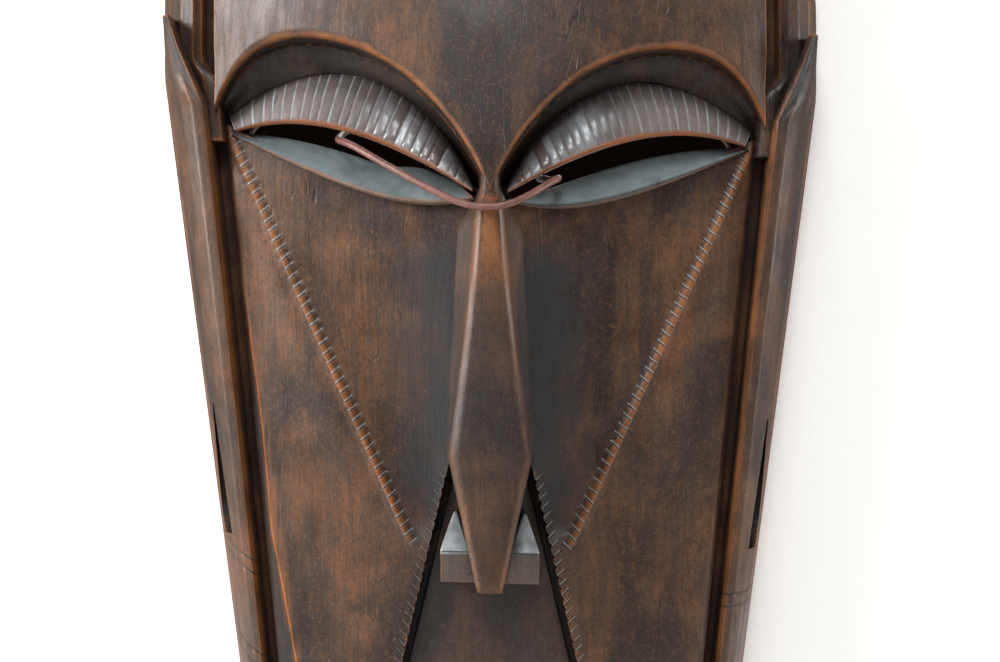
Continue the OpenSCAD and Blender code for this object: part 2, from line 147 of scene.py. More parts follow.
# sizes of the carving in mm: x across, depth out from the wall, z up from where the brows meet
carving = {
    "nailHeight": 95.0,
    "skew": 0.03,
    "crownHeight": 150.0,
    "chinDrop": 350.0,
    "halfSpan": 131.0,
    "sideTaper": 0.13,
    "faceDepth": 61.0,
    "foreheadDepth": 80.0,
    "wobble": 0.32,           # unevenness that the knife left
}
ridge = {"atBrow": 95.8, "lean": 0.4615, "height": 0.9, "panelDip": 3.0,
         "notchPitch": 4.15, "notchDepth": 0.4, "notchWidth": 0.6, "slant": 0.66}
grooves = {"width": 4.6, "plateDepth": 29.6}
nose = {"bridgeDepth": 82.0, "tipDepth": 96.0, "length": 154.0, "halfWidth": 15.6, "grooveStart": -102.0,
        "setBack": 0.15}
mouth = {"drop": 240.0, "halfWidth": 34.0, "recess": 7.0, "panelTop": 15.5, "panelLean": 0.235}
hollowBack = {"sideWall": 17.0, "frontWall": 16.0, "scoopDepth": 0.9}


def clamp(v, low, high):
    return max(low, min(high, v))


def lerp(a, b, t):
    return a + (b - a) * t


def smooth(a, b, v):
    t = clamp((v - a) / (b - a), 0, 1)
    return t * t * (3 - 2 * t)


def bezier(p, t):
    s = 1 - t
    return [p[0][k] * s ** 3 + 3 * p[1][k] * s * s * t + 3 * p[2][k] * s * t * t + p[3][k] * t ** 3
            for k in (0, 1)]


def table(stops, v):
    if v <= stops[0][0]:
        return stops[0][1]
    for (a, p), (b, q) in zip(stops, stops[1:]):
        if v <= b:
            return lerp(p, q, (v - a) / (b - a))
    return stops[-1][1]


def spans(*parts):
    # values that run through the stops, each span with its own number of steps
    values = [parts[0]]
    for stop, count in parts[1:]:
        start = values[-1]
        values += [lerp(start, stop, (k + 1) / count) for k in range(count)]
    return values


def mirrored(half):
    return [-v for v in half[:0:-1]] + half


def uneven(x, z, coarse=24.0, seed=0.0):
    at = Vector((x / coarse, seed, z / (coarse * 1.5)))
    return noise.noise(at) + 0.4 * noise.noise(at * 2.7)


def chinRound(z):
    return math.sqrt(1 - clamp((-190 - z) / (carving["chinDrop"] - 185), 0, 0.975) ** 3)


def crownRound(z):
    return math.sqrt(1 - clamp((z - 80) / (carving["crownHeight"] - 75), 0, 0.94) ** 3)


def halfWidth(z):
    return (carving["halfSpan"] + carving["sideTaper"] * min(z, 50)) * chinRound(z) * crownRound(z)


def grooveX(z):
    return (carving["halfSpan"] - 22.8 + 0.104 * min(z, 60)) * chinRound(z) * crownRound(z)


def bow(x):
    return 1 - (x / 170) ** 2


def faceBulge(z):
    return math.sqrt(1 - clamp((z + 100) / 262, -1, 1) ** 4)


def ridgeX(z):
    return ridge["atBrow"] + ridge["lean"] * z


def ridgeFade(z):
    return smooth(-142, -128, z) * (1 - smooth(26, 34, z))


def cheekShape(x, z):
    r = max(ridgeX(z), 22)
    inner = clamp((r - x) / (r - 14), 0, 1)
    dip = ridge["panelDip"] * 4 * inner * (1 - inner) if x < r else 0
    return ridgeFade(z) * (ridge["height"] * max(0, 1 - abs(x - r) / 3.5) - dip)


def faceDepth(x, z):
    return carving["faceDepth"] * faceBulge(z) * bow(x) + cheekShape(abs(x), z)


def foreheadDepth(x, z):
    return (carving["foreheadDepth"] - 0.0011 * z * z) * (1 - (x / 175) ** 2)


def lipEdge(z):
    return mouth["panelTop"] + mouth["panelLean"] * (nose["grooveStart"] - z)


def inFrame(x, depth, z):
    return Vector((x, -depth, z - carving["nailHeight"] - carving["skew"] * x)) * 0.001


finishes = ["waxedWood", "lidWood", "greyStainSheenWood", "nostrilWood", "backWood"]
woods = {name: bpy.data.materials.new(name) for name in finishes}


# paint layers: wear on rubbed edges, then painted shade in creases, cuts and recesses, then painted blue-grey
# sheen and highlight, then a mark for points that were painted
def paintLayers(mesh):
    return [mesh.verts.layers.float.new(name) for name in ("wear", "paintedShade", "paintedSheen", "known")]


def flat(shape, depth):
    # the same outline, all at one depth
    def place(i, j):
        x, z = shape(i, j)[::2]
        return x, depth, z
    return place


def sided(name, side):
    return name + ("Right" if side > 0 else "Left")


def block(name, columns, rows, front, back, finish="waxedWood", paint=None):
    # a grid pulled out to a closed solid, then every point set in its place
    mesh = bmesh.new()
    wear, paintedShade, paintedSheen, known = paintLayers(mesh)
    bmesh.ops.create_grid(mesh, x_segments=columns, y_segments=rows, size=0.5)
    made = bmesh.ops.extrude_face_region(mesh, geom=mesh.faces[:])
    for item in made["geom"]:
        if isinstance(item, bmesh.types.BMVert):
            item.co.z = 1
    for vert in mesh.verts:
        i, j = round((vert.co.x + 0.5) * columns), round((vert.co.y + 0.5) * rows)
        isBack = vert.co.z > 0.5
        vert.co = inFrame(*(back if isBack else front)(i, j))
        vert[known] = 1
        if paint and not isBack:
            vert[wear], vert[paintedShade], vert[paintedSheen] = paint(i, j)
    bmesh.ops.recalc_face_normals(mesh, faces=mesh.faces[:])
    return solidFrom(name, mesh, finish)


def solidFrom(name, mesh, finish):
    index = finishes.index(finish)
    for face in mesh.faces:
        face.material_index = index
    data = bpy.data.meshes.new(name)
    mesh.to_mesh(data)
    mesh.free()
    for each in finishes:
        data.materials.append(woods[each])
    return newObject(name, data)


def combine(base, others, operation):
    # adds pieces to the block of wood, or cuts them out of it
    for other in others:
        change = base.modifiers.new(other.name, "BOOLEAN")
        change.object = other
        change.operation = operation
        change.solver = "MANIFOLD"
    bpy.context.view_layer.update()
    ready = base.evaluated_get(bpy.context.evaluated_depsgraph_get())
    data = bpy.data.meshes.new_from_object(ready)
    base.modifiers.clear()
    old = base.data
    base.data = data
    bpy.data.meshes.remove(old)
    for other in others:
        gone = other.data
        bpy.data.objects.remove(other)
        bpy.data.meshes.remove(gone)


def makeBackPlate():
    rows = [lerp(-carving["chinDrop"], carving["crownHeight"],
                 lerp(k / 110, (1 - math.cos(math.pi * k / 110)) / 2, 0.6)) for k in range(111)]
    part = [0, 0.35, 0.62, 0.77, 0.84, 0.9, 0.935, 0.96, 0.975, 0.985, 0.994, 1]
    rise = [1, 1, 1, 1, 0.93, 0.86, 0.78, 0.7, 0.6, 0.5, 0.38, 0.25]
    across = list(zip(mirrored(part), rise[:0:-1] + rise))

    def front(i, j):
        z = rows[j]
        fade = 0.55 + 0.45 * faceBulge(z)
        x = across[i][0] * halfWidth(z)
        return x, across[i][1] * grooves["plateDepth"] * fade + 0.25 * uneven(x, z, 15), z

    def back(i, j):
        return across[i][0] * halfWidth(rows[j]) * 0.9995, 0, rows[j]

    return block("backPlate", len(across) - 1, len(rows) - 1, front, back)


crack = {"offset": [(-190, 10.2), (-160, 7.6), (-137, 5.2), (-94, 5.6), (-52, 4.2), (-20, 3.4)], "step": 0.9}


def featureX(z, edge):
    # the line that the fine columns follow: the notched ridge, then the edge of the lip panel
    return clamp(max(ridgeX(z), lipEdge(z) + 2.5), 26, edge - 14)


def notchAt(along):
    near = abs((along / ridge["notchPitch"]) % 1 - 0.5) * ridge["notchPitch"]
    return math.exp(-(near / ridge["notchWidth"]) ** 2)


def makeFace():
    rows = spans(-338, (-270, 16), (-184, 34), (-146, 34), (34, 250), (108, 10))

    def edgeAt(z):
        return grooveX(z) - grooves["width"] / 2

    def seamAt(z):
        return edgeAt(z) - table(crack["offset"], z) + grooves["width"] / 2

    def columnsAt(z):
        edge = edgeAt(z)
        r = featureX(z, edge)
        seam = table(crack["offset"], z) - grooves["width"] / 2
        return mirrored(spans(0, (17, 5), (r - 4.5, 12), (r + 4.5, 15), (edge - seam - 0.6, 9),
                              (edge - seam, 1), (edge - seam + 0.6, 1), (edge - 0.9, 2), (edge, 2)))

    columns = [columnsAt(z) for z in rows]

    def ridgeParts(x, z):
        # how far across the ridge, how strongly it stands there, and its raised band
        across = abs(x) - ridgeX(z)
        fade = smooth(-141, -134, z) * (1 - smooth(27, 32, z))
        return across, fade, fade * smooth(-2.0, -1.2, across) * (1 - smooth(0.7, 1.4, across))

    def front(i, j):
        x, z = columns[j][i], rows[j]
        side, edge, seam = abs(x), edgeAt(z), seamAt(z)
        across, fade, band = ridgeParts(x, z)
        cut = 0.0
        if fade > 0 and abs(across) < 5:
            inBand = smooth(-4.6, -3.4, across) * (1 - smooth(1.2, 2.0, across))
            cut = notchAt(z * 1.1 + across * ridge["slant"]) * inBand * fade
        bulge = 1.3 * math.exp(-((across - 8) / 7) ** 2) * smooth(-150, -60, z) * (1 - smooth(0, 25, z))
        depth = faceDepth(x, z) + bulge + 0.25 * band - ridge["notchDepth"] * cut
        depth += carving["wobble"] * uneven(x, z) * smooth(0, 8, edge - side)
        depth -= 1.4 * smooth(1.6, 0, edge - side)
        if x < 0 and z < -30:
            depth -= crack["step"] * smooth(seam, seam + 0.6, side) * smooth(-30, -50, z)
        return x, depth, z

    def back(i, j):
        return columns[j][i], 15, rows[j]

    def paint(i, j):
        x, z = columns[j][i], rows[j]
        side, seam = abs(x), seamAt(z)
        wear = 0.8 * ridgeParts(x, z)[2] * (0.65 + 0.35 * noise.noise(Vector((x / 6, z / 3, 7))))
        # painted shade along the side groove and beside the crack step; painted blue-grey sheen on the inner
        # cheeks by the nose, with painted shade there too
        paintedShade = 0.55 * smooth(2.2, 0.2, edgeAt(z) - side)
        if x < 0 and z < -40:
            wear = max(wear, math.exp(-((side - seam) / 0.5) ** 2) * smooth(-40, -60, z))
            paintedShade = max(paintedShade, 0.7 * smooth(seam + 0.7, seam + 1.2, side))
        paintedSheen = 0.75 * smooth(46, 22, side) * smooth(-165, -110, z) * (1 - smooth(-30, -8, z))
        paintedShade = max(paintedShade, 0.66 * paintedSheen)
        return wear, paintedShade, paintedSheen

    return block("faceBlock", len(columns[0]) - 1, len(rows) - 1, front, back, paint=paint)


brow = {"inner": [(0, 0), (6, 22), (34, 62.5), (75, 62.5)],
        "outer": [(75, 62.5), (95, 62.5), (106, 50), (112, 33)],
        "endX": 112.0, "innerParts": 44, "outerParts": 24, "edgeDrop": 6.0, "edgeRound": 3.4}


def browHalf(innerParts, outerParts):
    return ([bezier(brow["inner"], k / innerParts) for k in range(innerParts + 1)]
            + [bezier(brow["outer"], (k + 1) / outerParts) for k in range(outerParts)])


def makeForehead():
    half = browHalf(brow["innerParts"], brow["outerParts"])
    line = [(-x, z) for x, z in half[:0:-1]] + half
    lifts = [0, 0.12, 0.35, 0.7, 1.15, 1.7, 2.4, 3.4, 4.6, 6]
    parts = [(k + 1) / 26 for k in range(26)]
    top = 112

    def at(i, j):
        x, z = line[i]
        if j < len(lifts):
            height = z + lifts[j]
            sink = 0.0
            if lifts[j] < brow["edgeRound"]:
                left = 1 - lifts[j] / brow["edgeRound"]
                sink = brow["edgeDrop"] * (1 - math.sqrt(max(0, 1 - left * left)))
        else:
            height = lerp(z + 6, top, parts[j - len(lifts)])
            sink = 0.0
        x *= lerp(1, (grooveX(height) - 2) / brow["endX"], smooth(30, 80, height))
        return x, foreheadDepth(x, height) - sink + carving["wobble"] * uneven(x, height, 22, 5), height

    def paint(i, j):
        lift = lifts[j] if j < len(lifts) else 6 + 3 * (j - len(lifts))
        x, z = line[i]
        ragged = 1 + 0.5 * noise.noise(Vector((x / 9, z / 9, 2)))
        wear = 0.52 * math.exp(-((lift - 1.2) / (1.3 * ragged)) ** 2)
        # painted shade under the brow edge; faint painted sheen over the whole forehead
        paintedShade = 0.85 * smooth(0.5, 0, lift)
        return wear, paintedShade, 0.12

    return block("forehead", len(line) - 1, len(lifts) + len(parts) - 1, at, flat(at, 30), paint=paint)


headdress = {"low": 104.0, "high": 124.0}


def makeHeaddress():
    low, high, crown = headdress["low"], headdress["high"], carving["crownHeight"]
    proud = [(low, 3), (low + 2, 6), (low + 5, 7.5), (high - 5, 7.5), (high - 2, 6.5), (high, 5),
             (high + 1, 1.5), (lerp(high, crown, 0.4), -2), (lerp(high, crown, 0.75), -8), (crown, -20)]
    rows = spans(low, (low + 5, 4), (high - 5, 8), (high, 4), (high + 1, 2), (crown, 18))
    across = mirrored(spans(0, (0.9, 36), (1, 8)))

    def front(i, j):
        z = rows[j]
        reach = halfWidth(z) - (6 if z > high else 2)
        x = across[i] * reach
        depth = carving["foreheadDepth"] * 0.86 * (1 - (x / 180) ** 2) + table(proud, z)
        depth -= 8 * abs(across[i]) ** 6
        if low + 4 < z < high - 4:
            depth -= 0.8 * notchAt(x * 0.42 + z * 0.25)
        return x, depth + 0.2 * uneven(x, z, 14, 9), z

    def paint(i, j):
        z = rows[j]
        # faint painted sheen all over
        return 0.5 * math.exp(-((z - low - 3) / 2) ** 2) + 0.5 * math.exp(-((z - high + 3) / 2) ** 2), 0, 0.1

    return block("headdress", len(across) - 1, len(rows) - 1, front, flat(front, 10), paint=paint)


eye = {
    "lidTop": [(7, 6), (24, 45), (66, 62), (107, 32)],
    "lidBottom": [(7, 3), (38, 21), (70, 36), (104, 26)],
    "lowerTop": [(14, 2), (40, 12), (70, 25), (105, 26)],
    "lowerBottom": [(6, 0), (34, -9), (66, 6), (106, 25)],
    "hollowLow": [(8, 0.5), (34, -7), (66, 8), (104, 27)],
    "socketDepth": 47.0,
    "lidThickness": 7.0,
    "slitBackHeight": 12.0,
    "slitReach": 0.96,
    "browClear": 1.2,
    "striations": 26,
    "striationDepth": 0.3,
    "coveHeight": 9.0,
}


def lowerTop(side, t):
    # the left slit closes before it reaches the nose
    x, z = bezier(eye["lowerTop"], t)
    return x, z + (5.6 * smooth(46, 24, x) if side < 0 else 0)


def bent(depth, x):
    return depth * (1 - (x / 165) ** 2)


def makeUpperLid(side):
    spots = [0, 0.045, 0.11, 0.28, 0.5, 0.72, 0.89, 0.955]
    perFacet = len(spots)
    columns = eye["striations"] * perFacet
    heights = [0, 0.012, 0.03, 0.055, 0.085, 0.13, 0.2, 0.3, 0.42, 0.55, 0.68, 0.8, 0.9, 1.0, 1.15]
    bulge = [(0, 62.5), (0.012, 64.6), (0.03, 66), (0.055, 67), (0.085, 67.5), (0.13, 67.6), (0.3, 67),
             (0.55, 64.5), (0.8, 60.5), (1.15, 51)]

    def facet(i):
        return i // perFacet, spots[i % perFacet]

    def along(i):
        number, part = facet(i)
        even = (number + part) / eye["striations"]
        drift = 0.014 * noise.noise(Vector((even * 13, side, 0)))
        return even + drift * smooth(0, 0.05, even) * smooth(1, 0.95, even)

    def at(i, j):
        t, v = along(i), heights[j]
        low, high = bezier(eye["lidBottom"], t), bezier(eye["lidTop"], t)
        x, z = lerp(low[0], high[0], v), lerp(low[1], high[1], v)
        number, part = facet(i)
        tilt = 0.55 * noise.noise(Vector((number * 1.7, side * 5, 0)))
        fade = smooth(0.06, 0.16, v) * (1 - smooth(1.02, 1.1, v)) * smooth(0.015, 0.05, t)
        cut = math.exp(-((min(part, 1 - part)) / 0.07) ** 2)
        depth = table(bulge, v) - fade * (eye["striationDepth"] * cut - tilt * (part - 0.5)
                                          - 0.22 * (1 - (2 * part - 1) ** 2))
        depth += 0.16 * noise.noise(Vector((x / 5, z / 5, side * 3)))
        return side * x, bent(depth, x), z

    def back(i, j):
        x, z = at(i, j)[::2]
        v = heights[j]
        return x, bent(table(bulge, max(v, 0.13)) - eye["lidThickness"] - (5 if v > 1.1 else 0), x), z

    def paint(i, j):
        t, v = along(i), heights[j]
        number, part = facet(i)
        # pale painted highlights along the striation cuts and painted glints on the facets near the nose;
        # painted shade along the lid's top, under the brow
        cut = math.exp(-((min(part, 1 - part)) / 0.05) ** 2) * smooth(0.06, 0.14, v)
        edge = math.exp(-((v - 0.03) / 0.05) ** 2)
        x = abs(at(i, j)[0])
        paintedGlint = clamp(0.35 + 1.5 * noise.noise(Vector((number * 2.3, side * 4, 1))), 0, 0.85)
        paintedGlint *= smooth(50, 34, x) * smooth(0.05, 0.12, v) * smooth(1.0, 0.75, v)
        return 0.95 * edge, 0.5 * smooth(0.98, 1.08, v), max(cut * smooth(0.12, 0.4, t), paintedGlint)

    return block(sided("upperLid", side), columns, len(heights) - 1, at, back, "lidWood", paint)


def makeLowerLid(side):
    columns = 72
    heights = [0, 0.02, 0.05, 0.1, 0.18, 0.28, 0.4, 0.52, 0.64, 0.76, 0.88, 1]
    bulge = [(0, 62), (0.02, 63.6), (0.05, 64.6), (0.1, 64.9), (0.28, 62.8), (0.45, 60), (0.7, 56.5), (1, 52)]

    def at(i, j):
        t, v = i / columns, heights[j]
        low, high = bezier(eye["lowerBottom"], t), lowerTop(side, t)
        x, z = lerp(low[0], high[0], v), lerp(low[1], high[1], v)
        depth = table(bulge, v) + 0.2 * noise.noise(Vector((x / 8, z / 5, side * 9)))
        return side * x, bent(depth, x), z

    def back(i, j):
        x, z = at(i, j)[::2]
        return x, bent(44, x), z

    def paint(i, j):
        v = heights[j]
        # painted shade along the slit edge; painted blue-grey sheen over the lid, less at its lower rim
        wear = 0.6 * math.exp(-((v - 0.03) / 0.05) ** 2)
        return wear, 0.25 * smooth(0.9, 1, v), 1 - 0.8 * smooth(0.1, 0.02, v)

    return block(sided("lowerLid", side), columns, len(heights) - 1, at, back, "greyStainSheenWood", paint)


def makeSocketCutter(side):
    half = browHalf(brow["innerParts"], brow["outerParts"])
    columns = len(half) - 1
    rows = 14

    def at(i, j):
        low = bezier(eye["hollowLow"], i / columns)
        x, z = lerp(low[0], half[i][0], j / rows), lerp(low[1], half[i][1] - eye["browClear"], j / rows)
        cove = eye["coveHeight"] * smooth(0.62, 1, j / rows) ** 2
        return side * x, bent(eye["socketDepth"] + cove, x), z

    # the socket walls left by this cutter get painted shade
    return block("socketCutter", columns, rows, at, flat(at, 140), paint=lambda i, j: (0, 0.55, 0))


def makeSlitCutter(side):
    columns, rows = 48, 6

    def front(i, j):
        t = i / columns
        low, high = lowerTop(side, t), bezier(eye["lidBottom"], t)
        raised = high[1] + 0.3 + eye["slitBackHeight"] * max(0, math.sin(math.pi * t)) ** 0.6
        x = lerp(low[0], high[0], j / rows) * eye["slitReach"]
        return side * x, bent(eye["socketDepth"] + 4.5, x), lerp(low[1] - 1, raised, j / rows)

    return block("slitCutter", columns, rows, front, flat(front, 10), "backWood")


def noseTopHalf(z):
    start, half = nose["grooveStart"], nose["halfWidth"]
    if z > -10:
        return lerp(5, 2.6, smooth(-10, 8, z))
    if z > start:
        return lerp(5, half, max(0, (z + 10) / (start + 10)) ** 1.25)
    return lerp(half, 4.2, (start - z) / (nose["length"] + start))


def noseFoot(z):
    if z > -14:
        return lerp(13.7, 4.5, smooth(-14, 6, z))
    return lerp(13, 18, z / nose["grooveStart"]) if z > nose["grooveStart"] else noseTopHalf(z) + 1.5


def noseDepth(z):
    if z > -2:
        return nose["bridgeDepth"] - 2
    part = smooth(-20, -nose["length"], z) * 0.4 + 0.6 * (-z / nose["length"])
    return lerp(nose["bridgeDepth"], nose["tipDepth"], part)


def makeNose():
    rows = spans(-nose["length"], (-nose["length"] + 4, 6), (-100, 36), (-10, 60), (14, 12))
    top, flank = 12, 9
    columns = 2 * (top + flank)

    def at(i, j):
        z = rows[j]
        half, foot = noseTopHalf(z), noseFoot(z)
        depth = noseDepth(z)
        if z < -nose["length"] + 4:
            depth -= 3 * (1 - (z + nose["length"]) / 4) ** 2
        k = i - columns / 2
        side = 1 if k > 0 else -1
        k = abs(k)
        if k <= top:
            part = k / top
            x = half * part + 0.6 * smooth(0.85, 1, part)
            out = depth - 0.9 * part ** 2 - 1.6 * smooth(0.8, 1, part)
        else:
            part = (k - top) / flank
            x = lerp(half + 0.6, foot, part ** 1.15)
            out = lerp(depth - 2.5, faceDepth(foot, z) - 1, part) - 1.2 * math.sin(math.pi * part)
        fine = 0.22 * uneven(side * x, z, 13, 4)
        return side * x, out + fine - nose["setBack"], z

    def paint(i, j):
        z = rows[j]
        k = abs(i - columns / 2)
        wear = 0.45 * math.exp(-((k - top) / 1.1) ** 2) * (0.5 + 0.5 * noise.noise(Vector((i, z / 12, 1))))
        bridge = smooth(-34, -14, z) * (1 - smooth(-4, 3, z))
        wear = max(wear, 0.38 * smooth(top * 0.75, top * 0.3, k) * bridge)
        wear = max(wear, 0.2 * smooth(-130, -150, z))
        # painted light sheen on the flanks; painted shade at the foot of the flanks and on the front below
        # the bridge
        paintedSheen = 0.5 * smooth(top, top + 2, k) * smooth(columns / 2 + 1, columns / 2 - 4, k)
        paintedShade = 0.45 * smooth(columns / 2 - 2.5, columns / 2, k)
        paintedShade = max(paintedShade, 0.55 * smooth(top - 0.5, top - 3, k) * smooth(-22, -40, z))
        return wear, paintedShade, paintedSheen

    return block("noseBack", columns, len(rows) - 1, at, flat(at, 40), paint=paint)


nostril = {
    # opposite corners of three thin boxes, and the block is the hull round them
    "boxes": [((4, 74, -152), (19.5, 44, -150)), ((8, 77, -140), (19.5, 44, -139)),
              ((13, 66, -126), (14.5, 46, -125))],
    "edgeRound": 0.7,
    "shoulder": -140.0,       # painted highlight above it, brown below
}


def makeNostrilBlock(side):
    mesh = bmesh.new()
    known = paintLayers(mesh)[3]
    for ends in nostril["boxes"]:
        for x in (ends[0][0], ends[1][0]):
            for depth in (ends[0][1], ends[1][1]):
                for z in (ends[0][2], ends[1][2]):
                    mesh.verts.new(inFrame(side * x, depth, z))
    hull = bmesh.ops.convex_hull(mesh, input=mesh.verts[:])
    bmesh.ops.delete(mesh, geom=[g for g in hull["geom_interior"] if isinstance(g, bmesh.types.BMVert)],
                     context="VERTS")
    bmesh.ops.dissolve_limit(mesh, angle_limit=0.03, verts=mesh.verts[:], edges=mesh.edges[:])
    bmesh.ops.bevel(mesh, geom=mesh.edges[:], offset=nostril["edgeRound"] / 1000, segments=2, profile=0.5,
                    affect="EDGES", material=-1)
    bmesh.ops.triangulate(mesh, faces=mesh.faces[:])
    bmesh.ops.recalc_face_normals(mesh, faces=mesh.faces[:])
    for vert in mesh.verts:
        vert[known] = 1
    return solidFrom("nostrilBlock", mesh, "nostrilWood")


def makeLipPanelCutter():
    end = -mouth["drop"] - 30
    rows = spans(end, (-200, 24), (nose["grooveStart"], 140))

    def columnsAt(z):
        edge = lipEdge(z)
        pulse = notchAt(z * 0.98) * smooth(end, end + 40, z) * (1 - smooth(-112, -106, z))
        reach = 0.15 + 1.0 * pulse
        inside = mirrored(spans(0, (edge - 3.2, 9), (edge - 2.2, 1), (edge - 0.6, 2), (edge, 1)))
        return [-edge - reach * 0.6] + inside + [edge + reach]

    columns = [columnsAt(z) for z in rows]

    def floor(i, j):
        z, x = rows[j], columns[j][i]
        edge = lipEdge(z)
        fade = smooth(end, end + 30, z)
        if abs(x) > edge + 0.01:
            pulse = clamp((abs(x) - edge - 0.15) / 2, 0, 1)
            return x, faceDepth(x, z) + lerp(0.9, -0.7, pulse), z
        sunk = mouth["recess"] + 3 * smooth(edge - 3.4, edge - 2, abs(x))
        return x, faceDepth(x, z) - lerp(-0.7, sunk, fade) + 0.3 * uneven(x, z, 16, 2), z

    def outside(i, j):
        return columns[j][i], 130, rows[j]

    def paint(i, j):
        z, x = rows[j], columns[j][i]
        gap = lipEdge(z) - abs(x)
        # painted shade along the panel's step; painted blue-grey sheen on the panel and on the step wall
        paintedShade = 0.75 * smooth(4.5, 2.5, gap) if gap > 0 else 0.1
        return 0, paintedShade + 0.12, 0.35 if gap > 0 else 0.8

    return block("lipPanelCutter", len(columns[0]) - 1, len(rows) - 1, floor, outside, paint=paint)


def makeLip(name, height, bulge):
    columns, rows = 48, 12

    def at(i, j):
        half = mouth["halfWidth"]
        part = lerp(-1, 1, i / columns)
        radius = lerp(3.6, 7, 1 - abs(part) ** 1.5)
        turn = math.pi * j / rows
        z = -mouth["drop"] + height * (1 - part * part * 0.6) - radius * math.cos(turn)
        root = faceDepth(0, -mouth["drop"]) - mouth["recess"] - 1.5
        depth = root + bulge * (1 - part * part * 0.8) + radius * math.sin(turn)
        return part * (half + 2), depth + 0.12 * uneven(part * half, z, 8, 3), z

    def paint(i, j):
        # faint painted sheen all over
        return 0.5 * math.sin(math.pi * j / rows) ** 6, 0, 0.1

    return block(name, columns, rows, at, flat(at, 42), paint=paint)


ear = {"bottom": -328.0, "innerZ": 36.0, "tipZ": 72.0, "flare": 0.37,
       "slotTop": -86.0, "slotBottom": -139.0, "slotDepth": 10.0,
       "lineStarts": (-144, -149, -180, -185, -236, -241)}


def earInnerX(z):
    return grooveX(z) + grooves["width"] / 2 + (max(0, z - ear["innerZ"]) * ear["flare"])


def earLines(x, z):
    # pairs of slanting incised lines below the slot, and one upright line near the outside
    cut = 0.0
    side = abs(x)
    for start in ear["lineStarts"]:
        level = start + 0.62 * (side - 104) if x < 0 else start - 12 + 0.1 * (side - 104)
        cut = max(cut, math.exp(-((z - level) / 0.5) ** 2))
    return cut * smooth(-300, -290, z)


def makeEarStrip(side):
    rows = spans(ear["bottom"], (-250, 24), (-232, 30), (-192, 16), (-136, 84), (30, 70), (ear["tipZ"], 36))
    places = spans(0, (0.05, 3), (0.16, 4), (0.4, 6), (0.7, 6), (0.9, 6), (1, 3))
    profile = [(0, 0.1), (0.012, 0.6), (0.03, 0.85), (0.06, 0.95), (0.14, 1), (0.35, 0.97), (0.62, 0.8),
               (0.86, 0.5), (1, 0.2)]

    def crest(z):
        return (38 + 6 * smooth(ear["innerZ"] - 30, ear["tipZ"], z)) * lerp(0.5, 1, chinRound(z))

    def leaf(part, z):
        # the hollow along the inside of the flare
        start = smooth(30, 50, z)
        width = 0.1 + 0.22 * start
        return start * math.exp(-((part - width) / (0.09 + 0.1 * start)) ** 2)

    def at(i, j):
        z, part = rows[j], places[i]
        outer = halfWidth(z) - 1.3
        x = side * lerp(earInnerX(z), outer, part)
        depth = crest(z) * table(profile, part) + 6
        depth += 0.35 * uneven(x, z, 17, 6) * smooth(0, 0.1, part)
        depth -= 0.6 * earLines(x, z) * smooth(0, 0.08, part) + 3.2 * leaf(part, z)
        return x, depth, z

    def paint(i, j):
        z, part = rows[j], places[i]
        x = side * lerp(earInnerX(z), halfWidth(z), part)
        wear = 0.6 * math.exp(-((part - 0.07) / 0.035) ** 2) * (1 - smooth(30, 45, z) * 0.7)
        wear *= 0.7 + 0.3 * noise.noise(Vector((side, z / 10, 0)))
        wear = max(wear, 0.5 * smooth(0.9, 1, part))
        # painted shade along the groove edge and in the incised lines; painted sheen in the hollow of the
        # flare
        hollowed = leaf(part, z)
        paintedShade = max(0.9 * smooth(0.02, 0, part), 0.75 * earLines(x, z))
        return wear * (1 - hollowed), paintedShade, 0.95 * hollowed + 0.15

    return block(sided("ear", side), len(places) - 1, len(rows) - 1, at, flat(at, 4), paint=paint)


def makeEarSlotCutter(side):
    rows = 24

    def floor(i, j):
        part = j / rows
        z = lerp(ear["slotBottom"], ear["slotTop"] + 0.6, part)
        x = lerp(lerp(105.8, 111, i / 2), lerp(114.2, 114.8, i / 2), part)
        return side * x, 30 - ear["slotDepth"], z

    # the slot walls left by this cutter get painted shade
    return block("earSlotCutter", 2, rows, floor, flat(floor, 60), paint=lambda i, j: (0, 0.9, 0))


def closing(z):
    # beside the brow the band closes the side groove
    return 1 - smooth(46, 56, z)


def makeTempleBand(side):
    rows = spans(22, (60, 22), (136, 38))
    places = spans(0, (0.08, 3), (0.3, 4), (0.6, 5), (0.9, 5), (1, 3))
    profile = [(0, 0.3), (0.03, 0.8), (0.08, 0.94), (0.3, 1), (0.6, 0.94), (0.9, 0.7), (1, 0.3)]

    def at(i, j):
        z, part = rows[j], places[i]
        x = side * lerp(grooveX(z) + grooves["width"] * (0.6 - 1.3 * closing(z)), halfWidth(z) - 4, part)
        rise = 5 * closing(z) * (1 - smooth(0.1, 0.5, part))
        return x, (40 * faceBulge(z) + rise) * table(profile, part) + 0.25 * uneven(x, z, 17, 8), z

    def paint(i, j):
        part = places[i]
        # painted shade along the open groove edge; faint painted sheen all over
        open = 1 - closing(rows[j])
        return 0.3 * open * math.exp(-((part - 0.08) / 0.05) ** 2), 0.8 * open * smooth(0.03, 0, part), 0.25

    return block("templeBand", len(places) - 1, len(rows) - 1, at, flat(at, 4), paint=paint)


